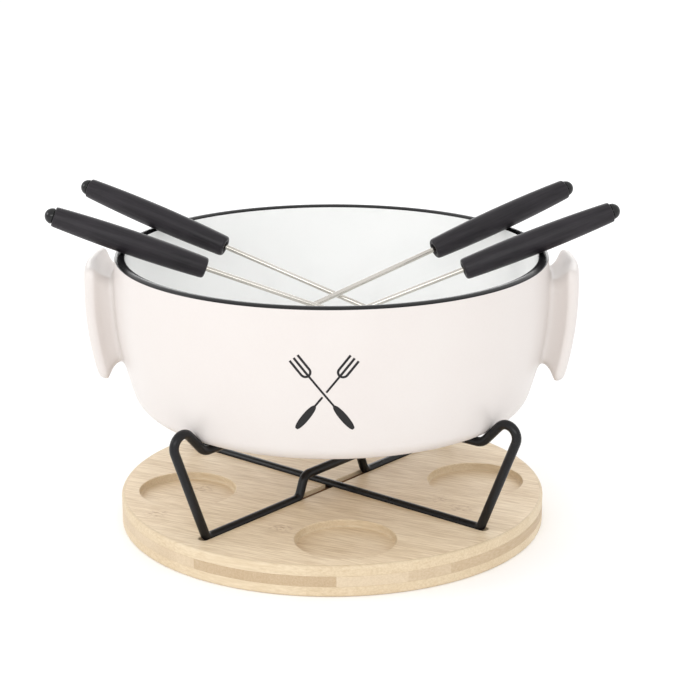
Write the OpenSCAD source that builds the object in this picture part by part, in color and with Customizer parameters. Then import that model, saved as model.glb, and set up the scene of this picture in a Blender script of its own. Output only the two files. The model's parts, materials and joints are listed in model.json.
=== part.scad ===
// Fondue set: a round pot with two moulded lugs stands on a wire trivet, which is
// let into a round bamboo board with four dish recesses. Four forks rest in the pot.
// Origin: centre of the board's underside. +Z up. The pot's lugs lie along X.

/* [Board] */
// Diameter of the bamboo board
board_d = 241; // [236:1:260]
// Thickness of one bamboo ply; the board is three plies
ply_t = 5.8; // [5.4:0.1:7]
// Rounding along the board's top and bottom edges
board_edge_r = 1.6; // [0.8:0.2:2.4]
// Angle of the first dish recess from the lugs
board_turn = 6.3; // [0:0.1:10]
// Diameter of a dish recess
recess_d = 55; // [50:1:58]
// Depth of a dish recess
recess_depth = 4.2; // [3:0.1:4.6]
// Distance of the dish recesses from the centre
recess_ring = 83; // [80:1:86]

/* [Wire stand] */
// Diameter of the stand's wire, coating included
wire_d = 5.2; // [4.6:0.1:5.4]
// Play between the wire and its groove, all round
groove_play = 0.3; // [0.2:0.05:0.5]
// Distance of a foot from the centre
foot_r = 105; // [103:0.5:106]
// Slope of a leg above the board
leg_angle = 67.7; // [67:0.1:68]
// Bend radius at a foot
foot_bend_r = 4.2; // [3.6:0.2:5]
// Bend radius over the top of a hook
hook_bend_r = 6.6; // [6.2:0.1:6.8]
// Slope of the inner side of a hook
hook_angle = 46.6; // [46:0.1:47]
// Bend radius where a hook runs into the arm under the pot
arm_bend_r = 8; // [7:0.5:9]
// Distance from the centre to the inner end of an arm
arm_end_r = 60; // [50:1:70]
// Height of the bridge over the board, at the middle of the wire
bridge_rise = 12.7; // [10:0.1:14]
// Half the length of the bridge at its foot
bridge_r = 29.5; // [28:0.5:32]
// How far a bridge riser leans inwards
bridge_lean = 5; // [4:0.5:6]

/* [Pot] */
// Largest diameter of the pot's body
pot_d = 242; // [241:0.5:243]
// Height of the pot from its base to its rim
pot_h = 87; // [85:0.5:90]
// Wall thickness
pot_wall = 5.6; // [5:0.1:6]
// Height of the gentle crown along the top of the rim
crown_h = 0.9; // [0.6:0.1:1.4]
// Base thickness
pot_base = 7; // [6:0.5:8]
// Radius of the gently bowed side wall
side_r = 183; // [175:1:195]
// Height of the widest point above the pot's base
belly_h = 67.8; // [64:0.1:72]
// Outer corner radius between side and base
corner_out_r = 14; // [13:0.5:15]
// Inner corner radius between side and base
corner_in_r = 20; // [18:0.5:22]
// Radius of the shallow hollow under the base
base_hollow_r = 76; // [70:1:80]
// Depth of the shallow hollow under the base
base_hollow_depth = 1.2; // [0.8:0.1:1.6]

/* [Lugs] */
// Distance from the pot's axis to a lug's outer face
lug_r = 137.2; // [136:0.1:139]
// Width of a lug
lug_w = 56; // [52:1:60]
// Height of a lug's lower edge above the pot's base
lug_low = 19.8; // [18:0.2:22]
// Height of a lug's upper edge above the pot's base
lug_top = 81.2; // [79:0.2:82]
// How much lower the lug's top is where it meets the pot
lug_dip = 9.2; // [8:0.2:10]
// How much narrower the lug is on each side where it meets the pot
lug_waist = 7; // [6:0.2:8]
// Thickness of the lip round a lug's outer face
lug_lip_t = 5.2; // [4.6:0.2:6]
// Corner radius of a lug, seen from its end
lug_corner_r = 7; // [5:0.5:9]

/* [Forks] */
// Length of a fork from its cap to the points of its prongs
fork_len = 274.5; // [270:0.5:275]
// Length of the handle with its cap
handle_len = 93.2; // [90:0.1:96]
// Largest diameter of the handle
handle_d = 14; // [13:0.1:14.2]
// Distance from the cap's tip to the handle's thickest point
handle_swell_x = 52; // [48:1:56]
// Radius of the handle's bowed outline
handle_bow_r = 790; // [700:10:900]
// Diameter of the round end cap
cap_d = 9; // [8:0.1:10]
// Diameter of the steel shaft
shaft_d = 3; // [2.6:0.1:3.2]
// Gap between the handle and the pot's rim where it rests
rest_gap = 0.2; // [0.1:0.05:0.4]
// Length of the flat fork head
head_len = 42; // [38:1:46]
// Width of the fork head across its two prongs
head_w = 9.4; // [8.8:0.2:10]
// Thickness of the fork head
head_t = 1.8; // [1.6:0.1:2]
// Width of one prong
prong_w = 2.2; // [1.8:0.1:2.6]
// How far a barb stands out from its prong
barb_w = 1.3; // [0.8:0.1:1.6]

/* [Hidden] */
$fn = 96;

// Joined shapes overlap by this much
bite = 0.5;
// Cutting shapes run past the surface by this much
past = 1;

// Board and its crossed grooves
board_r = board_d / 2;
board_t = 3 * ply_t;
wire_drop = 0.1;
wire_z = board_t - wire_drop;
groove_w = wire_d + 2 * groove_play;
groove_depth = wire_d / 2 + 2 * wire_drop;
groove_end_r = foot_r + 2;
frame_angle = board_turn - 45;

// Wire: straight stretches run this far into a bend, whose wire is thicker by weld
run_in = 0.2;
weld = 0.01;
wire_end_len = wire_d / 4;
wire_end_d = wire_d * 0.6;
arm_z = 66.4;
arm_outer_r = 105.2;
bridge_foot_bend_r = 5;
bridge_top_bend_r = 6;

// Pot: heights above the table, and the arcs that its side and its rim's crown follow
seat_gap = 0.2;
pot_z = arm_z + wire_d / 2 + seat_gap;
rim_z = pot_z + pot_h;
belly_z = pot_z + belly_h;
side_x = pot_d / 2 - side_r;
lip_z = rim_z - crown_h;
lip_x = bowed(pot_d / 2, lip_z) - pot_wall / 2;
lip_in_x = lip_x - pot_wall / 2;
crown_r = (pow(pot_wall / 2, 2) + pow(crown_h, 2)) / (2 * crown_h);

// Lugs: distances from the pot's axis at its widest point, and heights
lug_root_x = pot_d / 2 - 16;
lug_neck_x = pot_d / 2 + 1;
lug_reach = lug_r - lug_lip_t - lug_neck_x;
lug_h = lug_top - lug_low;
lug_z = pot_z + (lug_top + lug_low) / 2;

// Forks: angle of the point on the rim's inner edge where each handle rests, heading
// of its shaft, dip of its shaft below level, and distance of its cap from that point
FORKS = [
    [184, 5.7, 20.6, 45.7],
    [153.8, -13.8, 20, 49],
    [29.4, -157.9, 19.2, 45.2],
    [-1.5, -169.6, 19.5, 48.3]
];
handle_r = handle_d / 2;
cap_r = cap_d / 2;

// Along a fork, from the tip of its cap
handle_x = 5;
tang_x = 50;
head_x = fork_len - head_len;
slot_x = head_x + 12;
barb_x = fork_len - 12;
point_x = fork_len - 7;

// Fits inside a fork: the cap's spigot, the shaft's bore and the dimple round it
spigot_r = 2.9;
spigot_len = 7;
fit_gap = 0.05;
dimple_r = 3.4;
dimple_depth = 1.5;
point_w = 0.6;

wire_colour = [0.12, 0.12, 0.13];
bamboo_colour = [0.84, 0.75, 0.62];
core_colour = [0.77, 0.66, 0.5];
cream_colour = [0.95, 0.92, 0.9];
handle_colour = [0.2, 0.2, 0.21];
cap_colour = [0.08, 0.08, 0.09];
steel_colour = [0.8, 0.8, 0.8];

// ---- Bamboo board ----

// The whole board as one disc with rounded edges, before it is parted into plies
module board_blank() {
    rotate_extrude() {
        square([board_r - board_edge_r, board_t]);
        translate([0, board_edge_r])
            square([board_r, board_t - 2 * board_edge_r]);
        for (z = [board_edge_r, board_t - board_edge_r])
            translate([board_r - board_edge_r, z])
                circle(board_edge_r);
    }
}

// Ply number i of the board, counted from below
module ply(i) {
    intersection() {
        board_blank();
        translate([0, 0, i * ply_t])
            cylinder(h = ply_t, r = board_d);
    }
}

// A straight groove with round ends, across the whole stand
module groove(angle) {
    rotate([0, 0, angle])
        translate([0, 0, board_t - groove_depth]) {
            translate([-groove_end_r, -groove_w / 2, 0])
                cube([2 * groove_end_r, groove_w, groove_depth + past]);
            for (side = [-1, 1])
                translate([side * groove_end_r, 0, 0])
                    cylinder(h = groove_depth + past, d = groove_w);
        }
}

module board_base_ply() {
    color(bamboo_colour)
        ply(0);
}

module board_core_ply() {
    color(core_colour)
        ply(1);
}

module board_top_ply() {
    color(bamboo_colour)
        difference() {
            ply(2);
            for (i = [0:3])
                rotate([0, 0, board_turn + 90 * i])
                    translate([recess_ring, 0, board_t - recess_depth])
                        cylinder(h = recess_depth + past, d = recess_d);
            groove(frame_angle);
            groove(frame_angle + 90);
        }
}

// ---- Wire stand ----

function turn(a, b) = atan2(a.x * b.y - a.y * b.x, a * b);
function unit(v) = v / norm(v);
function direction(p, i) = unit(p[i + 1] - p[i]);
function setback(p, bends, i) =
    (i == 0 || i == len(p) - 1) ? 0
        : bends[i] * tan(abs(turn(direction(p, i - 1), direction(p, i))) / 2);

// One bend of the wire at corner i of the path
module wire_bend(p, bends, i) {
    from = direction(p, i - 1);
    to = direction(p, i);
    swing = turn(from, to);
    side = sign(swing);
    start = p[i] - from * setback(p, bends, i);
    centre = start + side * bends[i] * [-from.y, from.x];
    first = (side > 0 ? atan2(from.y, from.x) - 90 : atan2(to.y, to.x) + 90);
    translate([centre.x, centre.y, 0])
        rotate([0, 0, first])
            rotate_extrude(angle = abs(swing))
                translate([bends[i], 0])
                    circle(d = wire_d + 2 * weld);
}

// A wire along the corners p in the XY plane, rounded by the radii in bends
module wire_run(p, bends) {
    for (i = [0:len(p) - 2]) {
        dir = direction(p, i);
        start = p[i] + dir * (setback(p, bends, i) - run_in);
        end = p[i + 1] - dir * (setback(p, bends, i + 1) - run_in);
        translate([start.x, start.y, 0])
            rotate([0, 0, atan2(dir.y, dir.x)])
                rotate([0, 90, 0])
                    cylinder(h = norm(end - start), d = wire_d);
    }
    for (i = [1:len(p) - 2])
        wire_bend(p, bends, i);
    for (end = [0, len(p) - 1]) {
        out = (end == 0 ? -direction(p, 0) : direction(p, end - 1));
        translate([p[end].x, p[end].y, 0])
            rotate([0, 0, atan2(out.y, out.x)])
                rotate([0, 90, 0])
                    cylinder(h = wire_end_len, d1 = wire_d - 2 * weld, d2 = wire_end_d);
    }
}

// Where the line through p at slope a meets the line through q at slope b
function meet(p, a, q, b) =
    let (x = (q.y - p.y + p.x * tan(a) - q.x * tan(b)) / (tan(a) - tan(b)))
        [x, p.y + (x - p.x) * tan(a)];

// Corners of half a frame, as distance from the centre and height. The hook's
// corner is where the leg and the hook's inner side would meet above it.
foot = [foot_r, wire_z];
arm_outer = [arm_outer_r, arm_z];
hook = meet(foot, leg_angle, arm_outer, hook_angle);

function mirrored(p) = [for (i = [len(p) - 1:-1:0]) [-p[i].x, p[i].y]];
function reversed(v) = [for (i = [len(v) - 1:-1:0]) v[i]];

half_path = [[arm_end_r, arm_z], arm_outer, hook, foot];
half_bends = [0, arm_bend_r, hook_bend_r, foot_bend_r];
bridge_path = [
    [bridge_r, wire_z], [bridge_r - bridge_lean, wire_z + bridge_rise],
    [bridge_lean - bridge_r, wire_z + bridge_rise], [-bridge_r, wire_z]
];
bridge_bends = [
    bridge_foot_bend_r, bridge_top_bend_r, bridge_top_bend_r, bridge_foot_bend_r
];

// Stands a wire path up on edge and turns it to its groove
module standing(angle) {
    color(wire_colour)
        rotate([0, 0, angle])
            rotate([90, 0, 0])
                children();
}

module stand_frame_lower() {
    standing(frame_angle)
        wire_run(concat(half_path, mirrored(half_path)),
                 concat(half_bends, reversed(half_bends)));
}

module stand_frame_bridge() {
    standing(frame_angle + 90)
        wire_run(concat(half_path, bridge_path, mirrored(half_path)),
                 concat(half_bends, bridge_bends, reversed(half_bends)));
}

// ---- Pot ----

// Outline of the pot's body, grown inwards by inset, with corner radius r_corner
// and its flat base at z_base
module body_outline(inset, r_corner, z_base) {
    r_side = side_r - inset;
    z_corner = z_base + r_corner;
    x_corner = side_x + sqrt(pow(r_side - r_corner, 2) - pow(z_corner - belly_z, 2));
    intersection() {
        union() {
            translate([0, z_corner])
                square([pot_d, rim_z - z_corner + past]);
            translate([0, z_base])
                square([x_corner, r_corner + bite]);
            translate([x_corner, z_corner])
                circle(r_corner);
        }
        translate([side_x, belly_z])
            circle(r_side, $fn = 360);
        translate([0, z_base])
            square([pot_d, rim_z]);
    }
}

// A lug's outline, seen along X
module lug_outline() {
    inner_w = lug_w - 2 * lug_corner_r;
    inner_h = lug_h - 2 * lug_corner_r;
    square([inner_w, lug_h], center = true);
    square([lug_w, inner_h], center = true);
    for (sy = [-1, 1], sz = [-1, 1])
        translate([sy * inner_w / 2, sz * inner_h / 2])
            circle(lug_corner_r);
}

// Radius of a round cut of the given depth whose edge is lug_reach from its middle
function cut_r(depth) = (pow(lug_reach, 2) + pow(depth, 2)) / (2 * depth);

// Distance from the axis, at height z, of a side that is bowed like the pot's and
// lies at x where the pot is widest
function bowed(x, z) = side_x + sqrt(pow(x - side_x, 2) - pow(z - belly_z, 2));

// The space inside a side bowed like the pot's, turned about the axis
module bowed_body(x) {
    rotate_extrude($fn = 180)
        intersection() {
            translate([side_x, belly_z])
                circle(x - side_x, $fn = 360);
            square([2 * x, rim_z]);
        }
}

// One lug at +X: a block with a bowed outer face and a hollowed top, underside and
// sides; the hollows in its sides follow the pot's bow
module lug() {
    dip_r = cut_r(lug_dip);
    waist_r = cut_r(lug_waist);
    intersection() {
        difference() {
            translate([lug_root_x, 0, lug_z])
                rotate([90, 0, 90])
                    linear_extrude(lug_r - lug_root_x + past)
                        lug_outline();
            for (side = [-1, 1]) {
                edge_z = lug_z + side * lug_h / 2;
                translate([bowed(lug_neck_x, edge_z), 0, edge_z + side * (dip_r - lug_dip)])
                    rotate([90, 0, 0])
                        cylinder(h = lug_w + 2 * past, r = dip_r, center = true);
                translate([side_x, side * (lug_w / 2 - lug_waist + waist_r), belly_z])
                    rotate([90, 0, 0])
                        rotate_extrude($fn = 360)
                            translate([lug_neck_x - side_x, 0])
                                circle(waist_r);
            }
        }
        bowed_body(lug_r);
    }
}

module pot() {
    color(cream_colour)
        difference() {
            union() {
                rotate_extrude($fn = 180)
                    intersection() {
                        body_outline(0, corner_out_r, pot_z);
                        union() {
                            square([pot_d, lip_z]);
                            translate([lip_x, rim_z - crown_r])
                                circle(crown_r);
                        }
                    }
                lug();
                rotate([0, 0, 180])
                    lug();
            }
            rotate_extrude($fn = 180)
                body_outline(pot_wall, corner_in_r, pot_z + pot_base);
            translate([0, 0, pot_z - past])
                cylinder(h = base_hollow_depth + past, r = base_hollow_r);
        }
}

// ---- Forks ----

// Places a fork, whose own X runs from its cap to its prongs
module place_fork(f) {
    rest_h = (handle_r + rest_gap) / cos(f[2]);
    translate([lip_in_x * cos(f[0]), lip_in_x * sin(f[0]), lip_z + rest_h])
        rotate([0, f[2], f[1]])
            translate([-f[3], 0, 0])
                children();
}

// Turns an outline in the XY plane, right of Y, about the fork's own X
module lathe_x() {
    rotate([0, 90, 0])
        rotate_extrude()
            children();
}

// Radius of the handle at x along the fork
function handle_at(x) =
    handle_r - handle_bow_r + sqrt(pow(handle_bow_r, 2) - pow(x - handle_swell_x, 2));

module fork_handle() {
    steps = 24;
    step = (handle_len - handle_x) / steps;
    xs = [for (i = [0:steps]) handle_x + i * step];
    color(handle_colour)
        difference() {
            lathe_x()
                polygon(concat(
                    [[0, handle_x]], [for (x = xs) [handle_at(x), x]], [[0, handle_len]]
                ));
            rotate([0, 90, 0]) {
                translate([0, 0, handle_x - past])
                    cylinder(h = spigot_len + past, r = spigot_r);
                translate([0, 0, tang_x])
                    cylinder(h = handle_len, r = shaft_d / 2 + fit_gap);
                translate([0, 0, handle_len - dimple_depth])
                    cylinder(h = dimple_depth + past, r = dimple_r);
            }
        }
}

module fork_cap() {
    color(cap_colour)
        lathe_x() {
            intersection() {
                translate([0, cap_r])
                    circle(cap_r);
                square([cap_r, cap_r]);
            }
            translate([0, cap_r])
                square([cap_r, handle_x - cap_r]);
            square([spigot_r - fit_gap, handle_x + spigot_len - past]);
        }
}

// One prong, on the +Y side, with a barb on its outside
module prong() {
    outer = head_w / 2;
    inner = outer - prong_w;
    middle = outer - prong_w / 2;
    polygon([
        [slot_x - bite, inner], [point_x, inner],
        [fork_len, middle - point_w / 2], [fork_len, middle + point_w / 2],
        [point_x, outer + barb_w], [barb_x, outer], [slot_x - bite, outer]
    ]);
}

// The broad part between the shaft and the prongs
module palm() {
    shoulder_x = slot_x - 3;
    difference() {
        polygon([
            [head_x - 2, -shaft_d / 2], [shoulder_x, -head_w / 2], [slot_x, -head_w / 2],
            [slot_x, head_w / 2], [shoulder_x, head_w / 2], [head_x - 2, shaft_d / 2]
        ]);
        translate([slot_x, 0])
            circle(d = head_w - 2 * prong_w);
    }
}

module fork_prongs() {
    color(steel_colour) {
        translate([tang_x + past, 0, 0])
            rotate([0, 90, 0])
                cylinder(h = head_x - tang_x, d = shaft_d);
        translate([0, 0, -head_t / 2])
            linear_extrude(head_t) {
                palm();
                prong();
                mirror([0, 1])
                    prong();
            }
    }
}

module fork_1_handle() { place_fork(FORKS[0]) fork_handle(); }
module fork_1_cap() { place_fork(FORKS[0]) fork_cap(); }
module fork_1_prongs() { place_fork(FORKS[0]) fork_prongs(); }
module fork_2_handle() { place_fork(FORKS[1]) fork_handle(); }
module fork_2_cap() { place_fork(FORKS[1]) fork_cap(); }
module fork_2_prongs() { place_fork(FORKS[1]) fork_prongs(); }
module fork_3_handle() { place_fork(FORKS[2]) fork_handle(); }
module fork_3_cap() { place_fork(FORKS[2]) fork_cap(); }
module fork_3_prongs() { place_fork(FORKS[2]) fork_prongs(); }
module fork_4_handle() { place_fork(FORKS[3]) fork_handle(); }
module fork_4_cap() { place_fork(FORKS[3]) fork_cap(); }
module fork_4_prongs() { place_fork(FORKS[3]) fork_prongs(); }

board_base_ply();
board_core_ply();
board_top_ply();
stand_frame_lower();
stand_frame_bridge();
pot();
fork_1_handle();
fork_1_cap();
fork_1_prongs();
fork_2_handle();
fork_2_cap();
fork_2_prongs();
fork_3_handle();
fork_3_cap();
fork_3_prongs();
fork_4_handle();
fork_4_cap();
fork_4_prongs();
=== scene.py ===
import json
import math

import bmesh
import bpy
from mathutils import Matrix, Vector, geometry


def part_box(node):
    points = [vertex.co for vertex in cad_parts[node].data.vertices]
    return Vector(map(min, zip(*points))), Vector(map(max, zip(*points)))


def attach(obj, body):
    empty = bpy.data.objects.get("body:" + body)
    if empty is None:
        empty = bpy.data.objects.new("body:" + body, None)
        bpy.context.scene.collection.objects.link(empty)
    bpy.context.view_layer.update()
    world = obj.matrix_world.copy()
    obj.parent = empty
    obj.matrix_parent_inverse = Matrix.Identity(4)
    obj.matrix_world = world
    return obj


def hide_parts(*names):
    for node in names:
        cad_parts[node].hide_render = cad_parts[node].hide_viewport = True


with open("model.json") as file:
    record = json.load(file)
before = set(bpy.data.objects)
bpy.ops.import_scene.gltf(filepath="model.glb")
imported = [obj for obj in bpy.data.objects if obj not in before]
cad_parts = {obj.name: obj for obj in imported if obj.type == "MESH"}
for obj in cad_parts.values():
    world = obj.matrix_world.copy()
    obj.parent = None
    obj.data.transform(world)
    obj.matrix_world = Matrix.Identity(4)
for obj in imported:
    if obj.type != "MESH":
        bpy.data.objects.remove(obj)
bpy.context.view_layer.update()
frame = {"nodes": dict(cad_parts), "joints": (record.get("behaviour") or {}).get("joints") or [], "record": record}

MM = 0.001
TAU = 2 * math.pi


# ---- Sizes read from the frame ----

def box_mm(node):
    """Lowest and highest corner of a CAD node, in millimetres."""
    lo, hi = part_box(node)
    return lo / MM, hi / MM


BOARD_R = box_mm("board_top_ply")[1].x
BASE_TOP = box_mm("board_base_ply")[1].z
CORE_TOP = box_mm("board_core_ply")[1].z
BOARD_TOP = box_mm("board_top_ply")[1].z
POT_BASE_Z, RIM_Z = box_mm("pot")[0].z, box_mm("pot")[1].z
LUG_R = box_mm("pot")[1].x
SEATS = {
    m["name"]: Vector(m["pos_m"]) / MM
    for m in frame["record"]["mounts"]
    if m["name"].startswith("dish_seat")
}
RECESS_FLOOR_Z = SEATS["dish_seat_1"].z
BOARD_TURN = math.atan2(SEATS["dish_seat_1"].y, SEATS["dish_seat_1"].x)

# ---- Board ----
BOARD_EDGE_R = 1.6
PLY_EDGE_R = 0.18
RECESS_R = 27.5
RECESS_EDGE_R = 0.5
RECESS_FOOT_R = 1.2
GROOVE_HALF = 2.9
GROOVE_DEPTH = 2.8
GROOVE_END = 107
GROOVE_EDGE_R = 0.35
SUPPORT = 0.25
RING_STEPS = 180

# ---- Bamboo: noise scales are cycles a metre along and across the fibres ----
GRAIN_TURN = math.radians(-24)
FIBRE = (62, 1050, 1050)
STREAK = (8, 48, 48)
FLECK = (260, 620, 620)
STRIP_W = 19.0
MARK_LONG = 10.0
MARK_WIDE = 9.0
BLOCK_SHARE = 0.6
# Where each glued block of the core ply starts, across its fibres, and how dark it is.
CORE_BLOCKS = [(-120, 0.75), (-101, 0.4), (-85, 0.1), (-54, 0.85), (25, 0.3)]
# Places of the cane's nodes in the top ply.
NODE_MARKS = [(-75.6, 2.7), (-96, -47.7), (-26.4, -67.5), (61.8, -22.8), (73.1, -36.5)]

# ---- Wire stand ----
WIRE_R = 2.6
WIRE_Z = BOARD_TOP - 0.1
FRAME_TURN = BOARD_TURN - math.radians(45)
FOOT_R = 105
FOOT_BEND = 4.2
LEG_SLOPE = math.radians(67.7)
HOOK_BEND = 6.6
HOOK_SLOPE = math.radians(46.6)
ARM_R = 105.2
ARM_Z = 66.4
ARM_BEND = 8
ARM_END_R = 60
BRIDGE_R = 29.5
BRIDGE_LEAN = 5
BRIDGE_RISE = 12.7
BRIDGE_BENDS = (5, 6)
WIRE_END = 1.3
WIRE_END_FLAT = 0.15
WIRE_STEPS = 28

# ---- Pot ----
POT_R = 121
SIDE_R = 183
BELLY_Z = POT_BASE_Z + 67.8
SIDE_X = POT_R - SIDE_R
WALL = 5.6
FLOOR_T = 7
CORNER_OUT = 14
CORNER_IN = 20
HOLLOW_R = 76
HOLLOW_DEPTH = 1.2
CROWN_H = 0.9
LIP_Z = RIM_Z - CROWN_H
LUG_W = 56
LUG_LOW = POT_BASE_Z + 18.8
LUG_TOP = POT_BASE_Z + 82
LUG_CORNER = 5.5
LUG_DIP = 7.4
LUG_WAIST = 7
LUG_NECK_CORNER = 6.5
LUG_LIP_FROM = 12.6

# ---- Forks ----
FORKS = (1, 2, 3, 4)
CAP_R = 4.5
HANDLE_X = 5
HANDLE_END = 93.2
HANDLE_R = 7
HANDLE_SWELL = 52
HANDLE_BOW = 790
SHAFT_R = 1.5
FORK_LEN = 274.5
HEAD_X = 232.5
HEAD_W = 9.4
HEAD_T = 1.8
PRONG_W = 2.2
BARB_W = 1.3
DIMPLE_R = 3.3
DIMPLE_DEPTH = 1.4


# ---- Outlines ----

def arc(centre, radius, start, end, steps):
    """Points on an arc, from angle start to angle end, in degrees."""
    return [
        Vector((
            centre[0] + radius * math.cos(math.radians(start + (end - start) * i / steps)),
            centre[1] + radius * math.sin(math.radians(start + (end - start) * i / steps)),
        ))
        for i in range(steps + 1)
    ]


def smooth_line(points, steps):
    """A smooth line through all the points, sampled steps times between each two."""
    points = [Vector(p) for p in points]
    ends = [2 * points[0] - points[1]] + points + [2 * points[-1] - points[-2]]
    line = []
    for a, b, c, d in zip(ends, ends[1:], ends[2:], ends[3:]):
        for i in range(steps):
            t = i / steps
            line.append(
                0.5 * (2 * b + (c - a) * t + (2 * a - 5 * b + 4 * c - d) * t * t
                       + (3 * b - a - 3 * c + d) * t ** 3)
            )
    return line + [points[-1]]


def rounded_line(points, radii, steps):
    """A path along the points with each corner rounded to its radius."""
    points = [Vector(p) for p in points]
    line = [points[0]]
    for a, b, c, radius in zip(points, points[1:], points[2:], radii[1:]):
        into, out = (b - a).normalized(), (c - b).normalized()
        swing = into.angle_signed(out)
        back = radius * math.tan(abs(swing) / 2)
        side = -math.copysign(1, swing)
        centre = b - into * back + side * radius * Vector((-into.y, into.x))
        first = b - into * back - centre
        for i in range(steps + 1):
            turn = Matrix.Rotation(-swing * i / steps, 2)
            line.append(centre + turn @ first)
    return line + [points[-1]]


# ---- Meshes ----

def piece(name, mesh, body, nodes, materials, place=None, sharp=50):
    """Makes one piece of the object from a bmesh, and ties it to the frame."""
    bmesh.ops.recalc_face_normals(mesh, faces=mesh.faces)
    data = bpy.data.meshes.new(name)
    mesh.to_mesh(data)
    mesh.free()
    data.shade_smooth()
    data.set_sharp_from_angle(angle=math.radians(sharp))
    obj = bpy.data.objects.new(name, data)
    bpy.context.scene.collection.objects.link(obj)
    for material in materials:
        data.materials.append(material)
    if place:
        obj.matrix_world = place
    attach(obj, body)
    if nodes:
        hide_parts(*nodes)
    return obj


def add_ring(mesh, points):
    """Adds one ring of points, given in millimetres."""
    return [mesh.verts.new(Vector(p) * MM) for p in points]


def bridge(mesh, one, two, material=0):
    """Joins two rings of as many points with quads."""
    for i in range(len(one)):
        j = (i + 1) % len(one)
        mesh.faces.new((one[i], one[j], two[j], two[i])).material_index = material


def cap(mesh, ring, material=0):
    """Closes a ring with a fan about its middle."""
    middle = mesh.verts.new(sum((v.co for v in ring), Vector()) / len(ring))
    for i, v in enumerate(ring):
        face = mesh.faces.new((v, ring[(i + 1) % len(ring)], middle))
        face.material_index = material


def circle_xy(radius, z, steps=RING_STEPS, centre=(0, 0)):
    """A level circle of points."""
    return [
        (centre[0] + radius * math.cos(TAU * i / steps),
         centre[1] + radius * math.sin(TAU * i / steps), z)
        for i in range(steps)
    ]


def lathe_x(profile, steps=48):
    """Turns an outline of (x, radius) points about X, closed at both ends."""
    mesh = bmesh.new()
    rings = [
        add_ring(mesh, [
            (x, r * math.cos(TAU * i / steps), r * math.sin(TAU * i / steps))
            for i in range(steps)
        ])
        for x, r in profile
    ]
    for one, two in zip(rings, rings[1:]):
        bridge(mesh, one, two)
    cap(mesh, rings[0])
    cap(mesh, rings[-1])
    return mesh


# ---- Materials ----

def srgb(red, green, blue):
    """A colour given as it looks on screen, 0 to 255, as linear values."""
    return tuple(
        v / 255 / 12.92 if v <= 10 else ((v / 255 + 0.055) / 1.055) ** 2.4
        for v in (red, green, blue)
    ) + (1.0,)


class Paint:
    """One material, with short calls that add nodes to it and join them up."""

    def __init__(self, name, colour, **shader):
        self.material = bpy.data.materials.new(name)
        self.material.use_nodes = True
        self.tree = self.material.node_tree
        self.shader = self.tree.nodes["Principled BSDF"]
        self.shader.inputs["Base Color"].default_value = colour
        for key, value in shader.items():
            self.shader.inputs[key.replace("_", " ")].default_value = value
        self.place = self.add("ShaderNodeTexCoord", {}, output="Object")

    def add(self, kind, inputs, output=0, **settings):
        """Adds a node, fills its inputs and returns one of its outputs."""
        node = self.tree.nodes.new(kind)
        for key, value in settings.items():
            setattr(node, key, value)
        for key, value in inputs.items():
            self.put(node.inputs[key], value)
        return node.outputs[output]

    def put(self, socket, value):
        """Joins a socket to another one, or sets it to a plain value."""
        if isinstance(value, bpy.types.NodeSocket):
            self.tree.links.new(value, socket)
        else:
            socket.default_value = value

    def math(self, operation, a, b=0.0):
        """One sum on two values."""
        return self.add("ShaderNodeMath", {0: a, 1: b}, operation=operation)

    def turned(self, angle, scale=(1, 1, 1), move=(0, 0, 0)):
        """Object coordinates turned about Z, then stretched by scale."""
        turn = self.add("ShaderNodeMapping", {
            "Vector": self.place, "Rotation": (0, 0, -angle),
        })
        return self.add("ShaderNodeMapping", {
            "Vector": turn, "Location": move, "Scale": scale,
        })

    def noise(self, vector, scale, detail=2.0, rough=0.5, distortion=0.0):
        """Cloudy noise, mostly between 0.3 and 0.7; scale is in cycles a metre."""
        return self.add("ShaderNodeTexNoise", {
            "Vector": vector, "Scale": scale, "Detail": detail, "Roughness": rough,
            "Distortion": distortion,
        })

    def spread(self, value, low, high, to_low=0.0, to_high=1.0):
        """Maps a value from one range to another, held at the ends."""
        return self.add("ShaderNodeMapRange", {
            "Value": value, "From Min": low, "From Max": high,
            "To Min": to_low, "To Max": to_high,
        })

    def steps(self, value, stops):
        """A value that jumps at each stop, given as (position, value)."""
        node = self.tree.nodes.new("ShaderNodeValToRGB")
        node.color_ramp.interpolation = "CONSTANT"
        marks = node.color_ramp.elements
        while len(marks) < len(stops):
            marks.new(0.5)
        for mark, (place, level) in zip(marks, stops):
            mark.position = place
            mark.color = (level, level, level, 1)
        self.put(node.inputs[0], value)
        return node.outputs["Color"]

    def mix(self, share, one, two):
        """A colour between two others; sockets 6, 7 and output 2 are the colour ones."""
        return self.add("ShaderNodeMix", {0: share, 6: one, 7: two}, output=2,
                        data_type="RGBA")

    def colour(self, value):
        """Sets the base colour."""
        self.put(self.shader.inputs["Base Color"], value)

    def roughness(self, value, low, high):
        """Sets the roughness from a noise, between low and high."""
        self.put(self.shader.inputs["Roughness"], self.spread(value, 0.3, 0.7, low, high))

    def bump(self, height, strength, depth):
        """Adds relief from a noise, depth in millimetres."""
        self.put(self.shader.inputs["Normal"], self.add("ShaderNodeBump", {
            "Strength": strength, "Distance": depth * MM, "Height": height,
        }))


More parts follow.
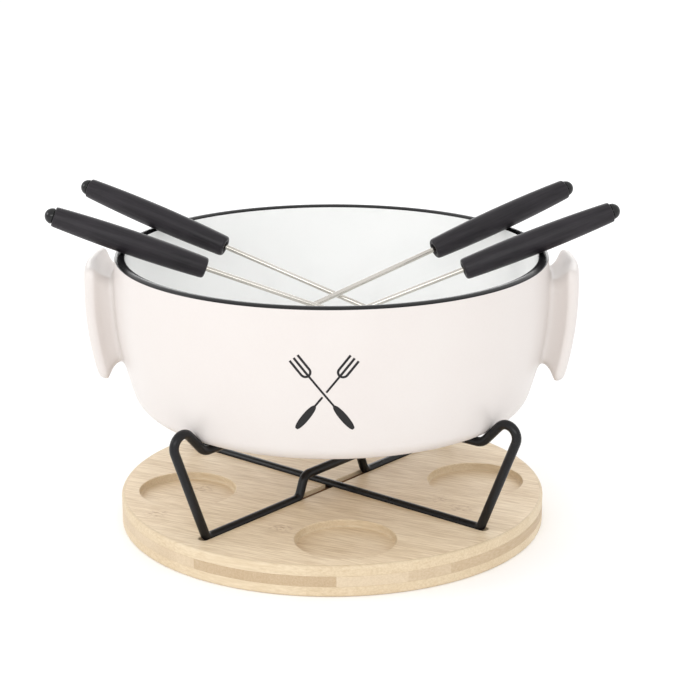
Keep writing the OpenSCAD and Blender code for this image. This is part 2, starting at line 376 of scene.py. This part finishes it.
def bamboo(name, light, dark, turn, seed, marks=(), blocks=()):
    """Pressed bamboo: strips of slightly different tone, fine fibres along them and
    brown marks where the cane's nodes were. Blocks are runs of darker strips, each
    from a distance across the strips and with its tone."""
    paint = Paint(name, light, Roughness=0.5)
    along = paint.turned(turn, move=(seed, seed * 0.37, 0))
    across = paint.add("ShaderNodeSeparateXYZ", {"Vector": along}, output="Y")
    level = paint.add("ShaderNodeSeparateXYZ", {"Vector": paint.turned(turn)}, output="Y")
    strip = paint.math("FLOOR", paint.math("DIVIDE", across, STRIP_W * MM))
    tone = paint.add("ShaderNodeTexWhiteNoise", {"W": paint.math("ADD", strip, seed * 7.3)},
                     noise_dimensions="1D")
    fine = paint.noise(paint.turned(turn, FIBRE, (seed, 0, 0)), 1.0, 4.0, 0.62)
    broad = paint.noise(paint.turned(turn, STREAK, (seed, 1, 0)), 1.0, 4.0, 0.6, 0.6)
    share = paint.math("ADD", paint.math("MULTIPLY", paint.spread(fine, 0.36, 0.64), 0.5),
                       paint.math("MULTIPLY", paint.spread(broad, 0.3, 0.7), 0.3))
    share = paint.math("ADD", share, paint.math("MULTIPLY", tone, 0.2))
    if blocks:
        place = paint.spread(level, -BOARD_R * MM, BOARD_R * MM)
        stops = [((at + BOARD_R) / (2 * BOARD_R), dark_at * BLOCK_SHARE)
                 for at, dark_at in blocks]
        share = paint.math("ADD", paint.math("MULTIPLY", share, 1 - BLOCK_SHARE),
                           paint.steps(place, stops))
    tint = paint.mix(share, light, dark)
    for x, y in marks:
        tint = node_mark(paint, tint, x, y, turn)
    paint.colour(tint)
    paint.roughness(fine, 0.46, 0.58)
    paint.bump(fine, 0.25, 0.12)
    return paint.material


def node_mark(paint, tint, x, y, turn):
    """Darkens a ragged patch where a cane's node ends up in the surface."""
    centre = Vector((x, y, 0)) * MM
    local = paint.add("ShaderNodeVectorMath", {0: paint.place, 1: centre},
                      operation="SUBTRACT")
    local = paint.add("ShaderNodeMapping", {"Vector": local, "Rotation": (0, 0, -turn)})
    local = paint.add("ShaderNodeMapping", {
        "Vector": local, "Scale": (1 / (MARK_LONG * MM), 1 / (MARK_WIDE * MM), 0),
    })
    reach = paint.add("ShaderNodeVectorMath", {0: local}, output="Value",
                      operation="LENGTH")
    ragged = paint.noise(paint.turned(turn, FLECK), 1.0, 3.0, 0.6)
    inside = paint.spread(reach, 1.0, 0.1)
    flecks = paint.spread(ragged, 0.48, 0.62)
    share = paint.math("MULTIPLY", paint.math("MULTIPLY", inside, flecks), 0.62)
    return paint.mix(share, tint, srgb(150, 105, 62))


def glaze(name, colour, other, gloss, coat):
    """A ceramic glaze: barely mottled in tone, with a faint orange-peel surface."""
    mottle = 0.35
    paint = Paint(name, colour, Roughness=gloss, Coat_Weight=coat, Coat_Roughness=0.04)
    cloud = paint.noise(paint.place, 26.0, 3.0, 0.55)
    speck = paint.noise(paint.place, 900.0, 2.0, 0.5)
    share = paint.math("ADD", paint.math("MULTIPLY", cloud, 1 - mottle),
                       paint.math("MULTIPLY", speck, mottle))
    paint.colour(paint.mix(paint.spread(share, 0.35, 0.65), colour, other))
    paint.roughness(cloud, gloss * 0.9, gloss * 1.1)
    paint.bump(paint.noise(paint.place, 160.0, 2.0, 0.5), 0.06, 0.2)
    return paint.material


def powder(name, colour, worn, rough, grain, depth, shine=0.3, along=1.0):
    """A coated or moulded dark finish with a fine grain and slightly paler peaks. The
    grain runs along the piece's own X where along is small."""
    paint = Paint(name, colour, Roughness=rough, Specular_IOR_Level=shine)
    fine = paint.noise(paint.turned(0, (along, 1, 1)), grain, 3.0, 0.6)
    cloud = paint.noise(paint.place, 60.0, 2.0, 0.5)
    share = paint.math("ADD", paint.math("MULTIPLY", paint.spread(fine, 0.35, 0.7), 0.6),
                       paint.math("MULTIPLY", paint.spread(cloud, 0.3, 0.7), 0.4))
    paint.colour(paint.mix(share, colour, worn))
    paint.roughness(cloud, rough * 0.9, rough * 1.12)
    paint.bump(fine, 0.5, depth)
    return paint.material


def steel(name):
    """Drawn stainless steel: fine streaks along the piece's own X."""
    paint = Paint(name, srgb(205, 201, 194), Roughness=0.2, Metallic=1.0)
    lines = paint.noise(paint.turned(0, (25, 500, 500)), 1.0, 2.0, 0.6)
    stain = paint.noise(paint.turned(0, (0.2, 1, 1)), 90.0, 2.0, 0.5)
    paint.colour(paint.mix(paint.spread(stain, 0.35, 0.7), srgb(214, 210, 203),
                           srgb(192, 188, 180)))
    paint.roughness(lines, 0.13, 0.22)
    return paint.material


bamboo_top = bamboo("bamboo_face", srgb(247, 230, 201), srgb(192, 165, 128),
                    GRAIN_TURN, seed=3.1, marks=NODE_MARKS)
bamboo_edge = bamboo("bamboo_edge", srgb(227, 210, 182), srgb(201, 179, 145),
                     GRAIN_TURN, seed=5.7)
# The groove floor is painted dark brown as painted shade: it draws the thin dark crease line along each groove's
# near edge.
groove_floor_painted_shade = bamboo("bamboo_groove_painted_shade", srgb(150, 112, 74), srgb(112, 78, 48),
                      GRAIN_TURN, seed=4.3)
bamboo_core = bamboo("bamboo_core", srgb(224, 207, 180), srgb(175, 148, 113),
                     GRAIN_TURN + math.radians(90), seed=1.9, blocks=CORE_BLOCKS)
cream = glaze("pot_outside", srgb(219, 213, 209), srgb(217, 210, 206), gloss=0.36, coat=0.0)
white = glaze("pot_inside", srgb(249, 249, 248), srgb(247, 248, 247), gloss=0.1, coat=0.6)
rim_black = powder("pot_rim", srgb(14, 14, 15), srgb(22, 22, 23),
                   rough=0.22, grain=1400.0, depth=0.02)
ink = powder("emblem_ink", srgb(34, 33, 34), srgb(44, 43, 44),
             rough=0.45, grain=2200.0, depth=0.01, shine=0.2)
coat_black = powder("wire_coat", srgb(10, 10, 12), srgb(22, 22, 24),
                    rough=0.3, grain=1500.0, depth=0.04)
handle_black = powder("handle_plastic", srgb(22, 19, 23), srgb(42, 38, 43),
                      rough=0.42, grain=900.0, depth=0.22, along=0.05)
cap_black = powder("cap_plastic", srgb(12, 12, 13), srgb(18, 18, 19),
                   rough=0.1, grain=2600.0, depth=0.004, shine=0.4)
fork_steel = steel("fork_steel")


# ---- Bamboo board ----

# The board's material slots: face wood, side wood, and the groove floor's painted shade.
FACE_WOOD, SIDE_WOOD, GROOVE_SHADE_WOOD = 0, 1, 2
# The rings of a dish recess between which its upright wall lies.
RECESS_WALL = range(4, 11)
GROOVE_WOODS = [FACE_WOOD] * 4 + [SIDE_WOOD, GROOVE_SHADE_WOOD]


def side_profile(low, high, low_r, high_r):
    """Outline of a ply's side from its lower to its upper face, edges rounded."""
    return (
        [Vector((BOARD_R - low_r - SUPPORT, low))]
        + arc((BOARD_R - low_r, low + low_r), low_r, -90, 0, 6)
        + arc((BOARD_R - high_r, high - high_r), high_r, 0, 90, 6)
        + [Vector((BOARD_R - high_r - SUPPORT, high))]
    )


def board_ply(profile, side_material=FACE_WOOD):
    """Turns the outline of a ply's side about Z and closes both faces."""
    mesh = bmesh.new()
    rings = [add_ring(mesh, circle_xy(r, z)) for r, z in profile]
    last = len(rings) - 2
    for i, (one, two) in enumerate(zip(rings, rings[1:])):
        bridge(mesh, one, two, side_material if 0 < i < last else FACE_WOOD)
    cap(mesh, rings[0])
    cap(mesh, rings[-1])
    return mesh


def plus_outline(half, z):
    """Outline of the two crossed grooves, with round ends, grown to half a width."""
    points = []
    for arm in range(4):
        turn = Matrix.Rotation(FRAME_TURN + arm * TAU / 4, 2)
        local = [Vector((half + (GROOVE_END - half) * i / 12, -half)) for i in range(12)]
        local += arc((GROOVE_END, 0), half, -90, 90, 12)
        local += [Vector((GROOVE_END - (GROOVE_END - half) * i / 12, half)) for i in range(1, 12)]
        points += [(*(turn @ p), z) for p in local]
    return points


def recess_rings(centre):
    """(radius, height) of the rings that go down a dish recess."""
    rim = RECESS_R + RECESS_EDGE_R
    foot = RECESS_R - RECESS_FOOT_R
    rings = [(rim + SUPPORT, BOARD_TOP)]
    rings += [tuple(p) for p in reversed(arc(
        (rim, BOARD_TOP - RECESS_EDGE_R), RECESS_EDGE_R, 180, 90, 4))]
    rings += [tuple(p) for p in reversed(arc(
        (foot, RECESS_FLOOR_Z + RECESS_FOOT_R), RECESS_FOOT_R, -90, 0, 6))]
    rings += [(foot - SUPPORT, RECESS_FLOOR_Z), (foot * 0.5, RECESS_FLOOR_Z)]
    return [circle_xy(r, z, 96, centre) for r, z in rings]


def groove_rings():
    """The rings that go down the crossed grooves."""
    top = [(GROOVE_HALF + GROOVE_EDGE_R + SUPPORT, BOARD_TOP)]
    edge = arc((GROOVE_HALF + GROOVE_EDGE_R, BOARD_TOP - GROOVE_EDGE_R), GROOVE_EDGE_R, 90, 180, 3)
    floor_z = BOARD_TOP - GROOVE_DEPTH
    rings = top + [tuple(p) for p in edge] + [(GROOVE_HALF, floor_z + 0.3),
                                             (GROOVE_HALF - 0.3, floor_z)]
    return [plus_outline(half, z) for half, z in rings]


def board_top():
    """The top ply: its rounded side, four dish recesses and the crossed grooves."""
    mesh = bmesh.new()
    side = [
        add_ring(mesh, circle_xy(r, z))
        for r, z in side_profile(CORE_TOP, BOARD_TOP, PLY_EDGE_R, BOARD_EDGE_R)
    ]
    for one, two in zip(side, side[1:]):
        bridge(mesh, one, two, SIDE_WOOD)
    cap(mesh, side[0])
    edges = [side[-1]]
    for seat in SEATS.values():
        rings = [add_ring(mesh, r) for r in recess_rings((seat.x, seat.y))]
        for i, (one, two) in enumerate(zip(rings, rings[1:])):
            bridge(mesh, one, two, SIDE_WOOD if i in RECESS_WALL else FACE_WOOD)
        cap(mesh, rings[-1])
        edges.append(rings[0])
    rings = [add_ring(mesh, r) for r in groove_rings()]
    for one, two, wood in zip(rings, rings[1:], GROOVE_WOODS):
        bridge(mesh, one, two, wood)
    edges.append(rings[0])
    fill_between(mesh, edges)
    # The groove floor gets the painted-shade brown.
    fill_between(mesh, [rings[-1]], GROOVE_SHADE_WOOD)
    return mesh


def fill_between(mesh, loops, material=0):
    """Fills a flat region that is bounded by an outer loop and any holes."""
    verts = [v for loop in loops for v in loop]
    for tri in geometry.tessellate_polygon([[v.co for v in loop] for loop in loops]):
        if len({verts[i] for i in tri}) == 3:
            mesh.faces.new([verts[i] for i in tri]).material_index = material


piece("board_top", board_top(), "board", ["board_top_ply"],
      [bamboo_top, bamboo_edge, groove_floor_painted_shade])
piece("board_core", board_ply(side_profile(BASE_TOP, CORE_TOP, PLY_EDGE_R, PLY_EDGE_R)),
      "board", ["board_core_ply"], [bamboo_core])
piece("board_base", board_ply(side_profile(0, BASE_TOP, BOARD_EDGE_R, PLY_EDGE_R), SIDE_WOOD),
      "board", ["board_base_ply"], [bamboo_top, bamboo_edge])


# ---- Wire stand ----

def hook_corner():
    """Where the leg and the hook's inner side would meet above the hook."""
    leg, inner = math.tan(LEG_SLOPE), math.tan(HOOK_SLOPE)
    x = (ARM_Z - WIRE_Z + FOOT_R * leg - ARM_R * inner) / (leg - inner)
    return (x, WIRE_Z + (x - FOOT_R) * leg)


def wire(middle, middle_bends):
    """Tube along one frame's path: an arm, a hook and a leg at each end."""
    half = [(ARM_END_R, ARM_Z), (ARM_R, ARM_Z), hook_corner(), (FOOT_R, WIRE_Z)]
    bends = [0, ARM_BEND, HOOK_BEND, FOOT_BEND]
    other = [(-x, z) for x, z in reversed(half)]
    path = rounded_line(half + middle + other, bends + middle_bends + bends[::-1], 12)
    mesh = bmesh.new()
    rings = []
    whole = [(0.0, 1.0)]
    for i, p in enumerate(path):
        before, after = path[max(i - 1, 0)], path[min(i + 1, len(path) - 1)]
        along = (after - before).normalized()
        stations = whole
        if i == 0:
            stations = wire_end(-1)[::-1] + whole
        if i == len(path) - 1:
            stations = whole + wire_end(1)
        for shift, share in stations:
            rings.append(add_ring(mesh, [
                wire_point(p + along * shift, along, WIRE_R * share, TAU * k / WIRE_STEPS)
                for k in range(WIRE_STEPS)
            ]))
    for one, two in zip(rings, rings[1:]):
        bridge(mesh, one, two)
    cap(mesh, rings[0])
    cap(mesh, rings[-1])
    return mesh


def wire_end(way):
    """(shift, share of the radius) of the rings that round off the wire's end."""
    return [(way * WIRE_END * math.sin(t), math.cos(t) * (1 - WIRE_END_FLAT) + WIRE_END_FLAT)
            for t in (0.3, 0.6, 1.0, 1.35)]


def wire_point(centre, along, radius, angle):
    """A point on the wire round a centre, in the plane Y = 0 of a standing frame."""
    up = Vector((-along.y, along.x))
    flat = centre + up * radius * math.cos(angle)
    return Vector((flat.x, radius * math.sin(angle), flat.y))


bridge_half = [(BRIDGE_R, WIRE_Z), (BRIDGE_R - BRIDGE_LEAN, WIRE_Z + BRIDGE_RISE)]
bridge_path = bridge_half + [(-x, z) for x, z in reversed(bridge_half)]
piece("stand_lower", wire([], []), "lower_frame", ["stand_frame_lower"],
      [coat_black], Matrix.Rotation(FRAME_TURN, 4, "Z"))
piece("stand_bridge", wire(bridge_path, [*BRIDGE_BENDS, *BRIDGE_BENDS[::-1]]), "bridge_frame",
      ["stand_frame_bridge"], [coat_black],
      Matrix.Rotation(FRAME_TURN + TAU / 4, 4, "Z"))


# ---- Pot ----

OUTSIDE, INSIDE, RIM = 0, 1, 2
LUG_COLUMNS = 8
LUG_ROWS = 14
HOLE_LOW = LUG_LOW - 3
HOLE_TOP = LUG_TOP + 0.8


def side_at(z, depth=0.0):
    """Radius of the pot's bowed side at a height, depth in from the outside."""
    return SIDE_X + math.sqrt((SIDE_R - depth) ** 2 - (z - BELLY_Z) ** 2)


def corner_arc(depth, radius, z):
    """The arc between a flat at height z and the bowed side depth in."""
    middle_z = z + radius
    x = SIDE_X + math.sqrt((SIDE_R - depth - radius) ** 2 - (middle_z - BELLY_Z) ** 2)
    end = math.degrees(math.atan2(middle_z - BELLY_Z, x - SIDE_X))
    return arc((x, middle_z), radius, -90, end, 12)


def rows(low, high, count):
    """Evenly spread values from low to high, both included."""
    return [low + (high - low) * i / count for i in range(count + 1)]


def pot_profile():
    """(radius, height, material) from the middle of the underside, up the outside,
    over the rim and down the inside to the middle of the floor."""
    z = POT_BASE_Z
    under = [(40, z + HOLLOW_DEPTH), (HOLLOW_R - 1, z + HOLLOW_DEPTH),
             (HOLLOW_R - 0.2, z + HOLLOW_DEPTH - 0.3), (HOLLOW_R + 0.2, z + 0.3),
             (HOLLOW_R + 1, z), (90, z)]
    corner = corner_arc(0, CORNER_OUT, z)
    low = [side_point(h) for h in rows(corner[-1].y, HOLE_LOW, 3)[1:]]
    lug_rows = [side_point(h) for h in rows(HOLE_LOW, HOLE_TOP, LUG_ROWS)[1:]]
    top = [side_point(h) for h in rows(HOLE_TOP, LIP_Z - 1, 2)[1:]]
    lip = side_at(LIP_Z) - WALL / 2
    crown = smooth_line([(2.79, -0.5), (2.6, -0.05), (2.2, 0.25), (1.3, 0.68), (0, CROWN_H),
                         (-1.3, 0.68), (-2.2, 0.25), (-2.6, -0.05), (-2.79, -0.5)], 3)
    crown = [(lip + x, LIP_Z + h) for x, h in crown]
    floor_z = z + FLOOR_T
    inner_corner = corner_arc(WALL, CORNER_IN, floor_z)
    inner = [(side_at(h, WALL), h) for h in rows(LIP_Z - 1, inner_corner[-1].y, 18)[:-1]]
    floor = [(70, floor_z), (40, floor_z)]
    outside = under + [tuple(p) for p in corner] + low
    profile = [(r, h, OUTSIDE) for r, h in outside]
    first_row = len(profile) - 1
    profile += [(r, h, OUTSIDE) for r, h in lug_rows + top]
    profile += [(r, h, RIM) for r, h in crown]
    profile[-1] = (*profile[-1][:2], INSIDE)
    profile += [(r, h, INSIDE) for r, h in inner]
    profile += [(p.x, p.y, INSIDE) for p in reversed(inner_corner)]
    profile += [(r, h, INSIDE) for r, h in floor]
    return profile, first_row


def side_point(z):
    """A point of the pot's outline on its side."""
    return (side_at(z), z)


def lug_outline(inset, corner):
    """Points round a lug, seen from its end, starting at the middle of one side and
    going up first. There is one for each point of the opening in the pot's grid."""
    a = LUG_W / 2 - inset
    b = (LUG_TOP - LUG_LOW) / 2 - inset * LUG_DIP / LUG_WAIST
    straight, bend = 5, 5
    quarter = [Vector((a, (b - corner) * i / straight)) for i in range(straight)]
    quarter += arc((a - corner, b - corner), corner, 0, 90, bend)
    quarter += [Vector(((a - corner) * (1 - i / straight), b))
                for i in range(1, straight + 1)]
    upper = quarter + [Vector((-p.x, p.y)) for p in reversed(quarter[:-1])]
    return upper + [-p for p in upper[1:-1]]


def lug_ring(mesh, side, inset, out, corner, shrink=1.0):
    """One ring of a lug, out from the pot's surface. Side is 1 or -1."""
    points = []
    middle = (LUG_LOW + LUG_TOP) / 2
    for p in lug_outline(inset, corner):
        y, z = p.x * shrink, middle + p.y * shrink
        radius = side_at(z) + out
        points.append((side * math.sqrt(radius ** 2 - y ** 2), side * y, z))
    return add_ring(mesh, points)


def pot():
    """The turned body, with an opening in its grid where each lug flows out."""
    mesh = bmesh.new()
    profile, low_row = pot_profile()
    rings = [add_ring(mesh, circle_xy(r, z)) for r, z, _ in profile]
    columns = {i % RING_STEPS for i in range(-LUG_COLUMNS, LUG_COLUMNS)}
    columns |= {(i + RING_STEPS // 2) % RING_STEPS for i in columns}
    for i in range(len(rings) - 1):
        in_hole = low_row <= i < low_row + LUG_ROWS
        for j in range(RING_STEPS):
            if in_hole and j in columns:
                continue
            k = (j + 1) % RING_STEPS
            face = mesh.faces.new((rings[i][j], rings[i][k], rings[i + 1][k], rings[i + 1][j]))
            face.material_index = profile[i][2]
    cap(mesh, rings[0], OUTSIDE)
    cap(mesh, rings[-1], INSIDE)
    for side, start in ((1, 0), (-1, RING_STEPS // 2)):
        lug(mesh, side, opening(rings, low_row, start))
    stray = [v for v in mesh.verts if not v.link_faces]
    bmesh.ops.delete(mesh, geom=stray, context="VERTS")
    return mesh


def opening(rings, low_row, start):
    """The grid's points round a lug's opening, in the order of lug_outline."""
    def at(row, column):
        return rings[low_row + row][(start + column) % RING_STEPS]

    middle = LUG_ROWS // 2
    edge = [at(row, LUG_COLUMNS) for row in range(middle, LUG_ROWS)]
    edge += [at(LUG_ROWS, c) for c in range(LUG_COLUMNS, -LUG_COLUMNS, -1)]
    edge += [at(row, -LUG_COLUMNS) for row in range(LUG_ROWS, 0, -1)]
    edge += [at(0, c) for c in range(-LUG_COLUMNS, LUG_COLUMNS)]
    return edge + [at(row, LUG_COLUMNS) for row in range(middle)]


def lug(mesh, side, edge):
    """A lug, from the opening in the pot's side out to its flat outer face."""
    reach = LUG_R - POT_R
    flow = smooth_line([
        (3.4, 0.0), (4.9, 0.15), (6.3, 0.7), (7.0, 1.7), (6.8, 3.2), (5.8, 5.2), (4.0, 7.6),
        (1.7, 9.8), (0.4, 11.2), (0.0, 12.6), (0.1, 13.8), (0.7, 15.1), (1.8, 15.9),
        (3.6, reach),
    ], 3)
    last = edge
    for inset, out in flow:
        sharpness = inset / LUG_WAIST if out < LUG_LIP_FROM else 0.0
        corner = LUG_CORNER + (LUG_NECK_CORNER - LUG_CORNER) * sharpness
        ring = lug_ring(mesh, side, inset, out, corner)
        bridge(mesh, last, ring)
        last = ring
    for shrink in (0.92, 0.7, 0.45, 0.2):
        ring = lug_ring(mesh, side, 3.6, reach, LUG_CORNER, shrink)
        bridge(mesh, last, ring)
        last = ring
    cap(mesh, last)


piece("pot_body", pot(), "pot", ["pot"], [cream, white, rim_black])


# ---- Emblem: two crossed forks, printed on the pot's front ----

EMBLEM_Z = POT_BASE_Z + 41
EMBLEM_TURN = math.radians(-90.4)
PRINT_PROUD = 0.06
PRINT_SUNK = 0.06


def on_pot(u, v, out):
    """The place u along and v up from the emblem's middle, out from the pot's side."""
    z = EMBLEM_Z + v
    radius = side_at(z) + out
    angle = EMBLEM_TURN + u / POT_R
    return (radius * math.cos(angle), radius * math.sin(angle), z)


def ribbon(mesh, line, widths, place):
    """A printed stroke along a line, with a half width at each of its points."""
    rings = []
    for i, p in enumerate(line):
        before, after = line[max(i - 1, 0)], line[min(i + 1, len(line) - 1)]
        along = (after - before).normalized()
        side = Vector((-along.y, along.x)) * widths[i]
        one, two = place @ (p + side), place @ (p - side)
        rings.append(add_ring(mesh, [
            on_pot(one.x, one.y, PRINT_PROUD), on_pot(two.x, two.y, PRINT_PROUD),
            on_pot(two.x, two.y, -PRINT_SUNK), on_pot(one.x, one.y, -PRINT_SUNK),
        ]))
    for one, two in zip(rings, rings[1:]):
        bridge(mesh, one, two)
    mesh.faces.new(rings[0])
    mesh.faces.new(rings[-1])


def straight_line(start, end, count=18):
    """Points up the emblem's own Y, from start to end."""
    return [Vector((0, start + (end - start) * i / count)) for i in range(count + 1)]


def emblem():
    mesh = bmesh.new()
    for tilt, broken in ((-38, False), (38, True)):
        place = Matrix.Rotation(math.radians(-tilt), 2)
        handle = straight_line(-25, -8)
        ribbon(mesh, handle, [
            0.4 + 1.7 * math.sqrt(max(0.0, 1 - ((p.y + 16.5) / 8.6) ** 2)) for p in handle
        ], place)
        shaft = [(-8.4, -1.6), (1.6, 13)] if broken else [(-8.4, 13)]
        for start, end in shaft:
            line = straight_line(start, end)
            ribbon(mesh, line, [0.55] * len(line), place)
        tines = straight_line(25, 16.4, 8)
        fork = [p + Vector((-2.6, 0)) for p in tines]
        fork += arc((0, 15.6), 2.6, 180, 360, 14)
        fork += [p + Vector((2.6, 0)) for p in reversed(tines)]
        ribbon(mesh, fork, [0.62] * len(fork), place)
        middle = straight_line(12.9, 25)
        ribbon(mesh, middle, [0.62] * len(middle), place)
    return mesh


piece("pot_emblem", emblem(), "pot", [], [ink])


# ---- Forks ----

def fork_place(k):
    """A fork's own frame: X from its cap to its prongs, from the tip of its cap."""
    joint = next(j for j in frame["joints"] if j["name"] == f"fork_{k}_draw_out")
    along = -Vector(joint["axis"]).normalized()
    side = Vector((0, 0, 1)).cross(along).normalized()
    up = along.cross(side)
    turn = Matrix((along, side, up)).transposed()
    back = turn.transposed()
    local = [back @ v.co for v in frame["nodes"][f"fork_{k}_cap"].data.vertices]
    lo = [min(p[i] for p in local) for i in range(3)]
    hi = [max(p[i] for p in local) for i in range(3)]
    tip = turn @ Vector((lo[0], (lo[1] + hi[1]) / 2, (lo[2] + hi[2]) / 2))
    return Matrix.Translation(tip) @ turn.to_4x4()


def handle_at(x):
    """Radius of the bowed handle at a place along the fork."""
    return HANDLE_R - HANDLE_BOW + math.sqrt(HANDLE_BOW ** 2 - (x - HANDLE_SWELL) ** 2)


def handle():
    """A handle with softly rounded ends and a dimple round the shaft."""
    back_r, front_r = 0.9, 1.5
    start, end = HANDLE_X, HANDLE_END
    low, high = handle_at(start), handle_at(end)
    profile = [(start, low - back_r - 1.2)]
    profile += [(p.x, p.y) for p in arc((start + back_r, low - back_r), back_r, 180, 90, 6)]
    profile += [(x, handle_at(x)) for x in rows(start + back_r + 1, end - front_r - 1, 24)]
    profile += [(p.x, p.y) for p in arc((end - front_r, high - front_r), front_r, 90, 0, 6)]
    lip = smooth_line([(end, DIMPLE_R + 0.7), (end - 0.2, DIMPLE_R + 0.15),
                       (end - 0.7, DIMPLE_R - 0.15), (end - DIMPLE_DEPTH, DIMPLE_R - 0.5)], 3)
    profile += [(p.x, p.y) for p in lip] + [(end - DIMPLE_DEPTH, SHAFT_R)]
    return lathe_x(profile)


def fork_cap():
    """The round end cap: a low glossy dome on a narrow neck."""
    dome = [(CAP_R - CAP_R * math.cos(math.radians(t)), CAP_R * math.sin(math.radians(t)))
            for t in (3, 8, 14, 21, 28, 36, 44, 52, 60, 68, 76, 83, 88)]
    rest = [(4.45, CAP_R - 0.02), (4.62, CAP_R - 0.12), (4.7, CAP_R - 0.4), (5.6, CAP_R - 0.5),
            (9, CAP_R - 1.7)]
    return lathe_x(dome + rest)


def shaft():
    """The round steel shaft, flattening where it runs into the head."""
    profile = [(HANDLE_END - 8, SHAFT_R), (HANDLE_END - 7, SHAFT_R)]
    profile += [(x, SHAFT_R) for x in rows(HANDLE_END, HEAD_X - 1, 24)]
    profile += [(HEAD_X, SHAFT_R * 0.96), (HEAD_X + 1, SHAFT_R * 0.8), (HEAD_X + 2, SHAFT_R * 0.4)]
    return lathe_x(profile, 28)


def head():
    """The flat head with two barbed prongs, its edges eased."""
    half, inner = HEAD_W / 2, HEAD_W / 2 - PRONG_W
    slot_x = HEAD_X + 12
    barb_x, point_x = FORK_LEN - 12, FORK_LEN - 7
    tip = half - PRONG_W / 2
    one = [(HEAD_X - 3, SHAFT_R * 0.85), (HEAD_X + 1, SHAFT_R * 1.15), (HEAD_X + 4, 2.4),
           (slot_x - 4, half - 0.5), (slot_x - 1, half), (barb_x, half),
           (point_x, half + BARB_W), (FORK_LEN, tip + 0.3), (FORK_LEN, tip - 0.3),
           (point_x, inner), (slot_x + 1, inner)]
    slot = [(slot_x - inner * math.sin(math.radians(t)), inner * math.cos(math.radians(t)))
            for t in (20, 45, 70)]
    upper = one + slot
    outline = upper + [(slot_x - inner, 0)] + [(x, -y) for x, y in reversed(upper)]
    mesh = bmesh.new()
    low = add_ring(mesh, [(x, y, -HEAD_T / 2) for x, y in outline])
    top = add_ring(mesh, [(x, y, HEAD_T / 2) for x, y in outline])
    bridge(mesh, low, top)
    fill_between(mesh, [low])
    fill_between(mesh, [top])
    bmesh.ops.recalc_face_normals(mesh, faces=mesh.faces)
    edges = [e for e in mesh.edges if e.calc_face_angle(0) > math.radians(60)]
    bmesh.ops.bevel(mesh, geom=edges, offset=0.3 * MM, segments=3, profile=0.5, affect="EDGES")
    return mesh


for k in FORKS:
    place = fork_place(k)
    body = f"fork_{k}"
    piece(f"fork_{k}_handle_grip", handle(), body, [f"fork_{k}_handle"],
          [handle_black], place)
    piece(f"fork_{k}_end_cap", fork_cap(), body, [f"fork_{k}_cap"], [cap_black],
          place)
    piece(f"fork_{k}_shaft", shaft(), body, [f"fork_{k}_prongs"], [fork_steel], place)
    piece(f"fork_{k}_head", head(), body, [], [fork_steel], place, sharp=35)


# ---- Stage, lights and camera ----

FLOOR_REACH = 6000
FLOOR_GLOW = 0.06
LIGHT_TARGET = Vector((0, 0, 90))
CAMERA_AT = Vector((27.6, -1054.2, 415.45))
CAMERA_HEADING = math.radians(90.95)
CAMERA_PITCH = math.radians(-16.75)
CAMERA_LENS = 100.38
CAMERA_SENSOR = 36


def stage_floor():
    """A large plain floor that every view ends in."""
    mesh = bmesh.new()
    mesh.faces.new(add_ring(mesh, [
        (x * FLOOR_REACH, y * FLOOR_REACH, 0) for x, y in ((-1, -1), (1, -1), (1, 1), (-1, 1))
    ]))
    data = bpy.data.meshes.new("floor")
    mesh.to_mesh(data)
    mesh.free()
    floor = bpy.data.objects.new("floor", data)
    bpy.context.scene.collection.objects.link(floor)
    paint = Paint("floor_paper", srgb(250, 250, 250), Roughness=0.9)
    cloud = paint.noise(paint.place, 3.0, 2.0, 0.5)
    paint.colour(paint.mix(cloud, srgb(250, 250, 250), srgb(248, 248, 248)))
    paint.shader.inputs["Emission Color"].default_value = (1, 1, 1, 1)
    paint.shader.inputs["Emission Strength"].default_value = FLOOR_GLOW
    data.materials.append(paint.material)


def softbox(name, at, size, power):
    """A soft area light that faces the middle of the set; power in watts."""
    light = bpy.data.lights.new(name, "AREA")
    light.shape = "RECTANGLE"
    light.size = size[0] * MM
    light.size_y = size[1] * MM
    light.energy = power
    lamp = bpy.data.objects.new(name, light)
    lamp.location = Vector(at) * MM
    aim = (LIGHT_TARGET - Vector(at)).normalized()
    lamp.rotation_mode = "QUATERNION"
    lamp.rotation_quaternion = aim.to_track_quat("-Z", "Y")
    bpy.context.scene.collection.objects.link(lamp)


def sky(strength):
    """An even white studio all round."""
    world = bpy.data.worlds.new("studio")
    world.use_nodes = True
    back = world.node_tree.nodes["Background"]
    back.inputs["Color"].default_value = (1, 1, 1, 1)
    back.inputs["Strength"].default_value = strength
    bpy.context.scene.world = world


def place_camera():
    """A long lens in front of the set and a little above it."""
    data = bpy.data.cameras.new("camera")
    data.lens = CAMERA_LENS
    data.sensor_width = CAMERA_SENSOR
    data.clip_end = 100
    camera = bpy.data.objects.new("camera", data)
    bpy.context.scene.collection.objects.link(camera)
    camera.location = CAMERA_AT * MM
    gaze = Vector((math.cos(CAMERA_PITCH) * math.cos(CAMERA_HEADING),
                   math.cos(CAMERA_PITCH) * math.sin(CAMERA_HEADING),
                   math.sin(CAMERA_PITCH)))
    camera.rotation_mode = "QUATERNION"
    camera.rotation_quaternion = gaze.to_track_quat("-Z", "Y")
    bpy.context.scene.camera = camera


stage_floor()
sky(1.04)
softbox("front_high", (-100, -1500, 800), (1500, 500), 6.5)
softbox("side_left", (-1400, -100, 800), (500, 500), 2.8)
softbox("back_low", (0, 1400, 500), (1500, 500), 4.1)
place_camera()
bpy.context.scene.view_settings.view_transform = "Standard"
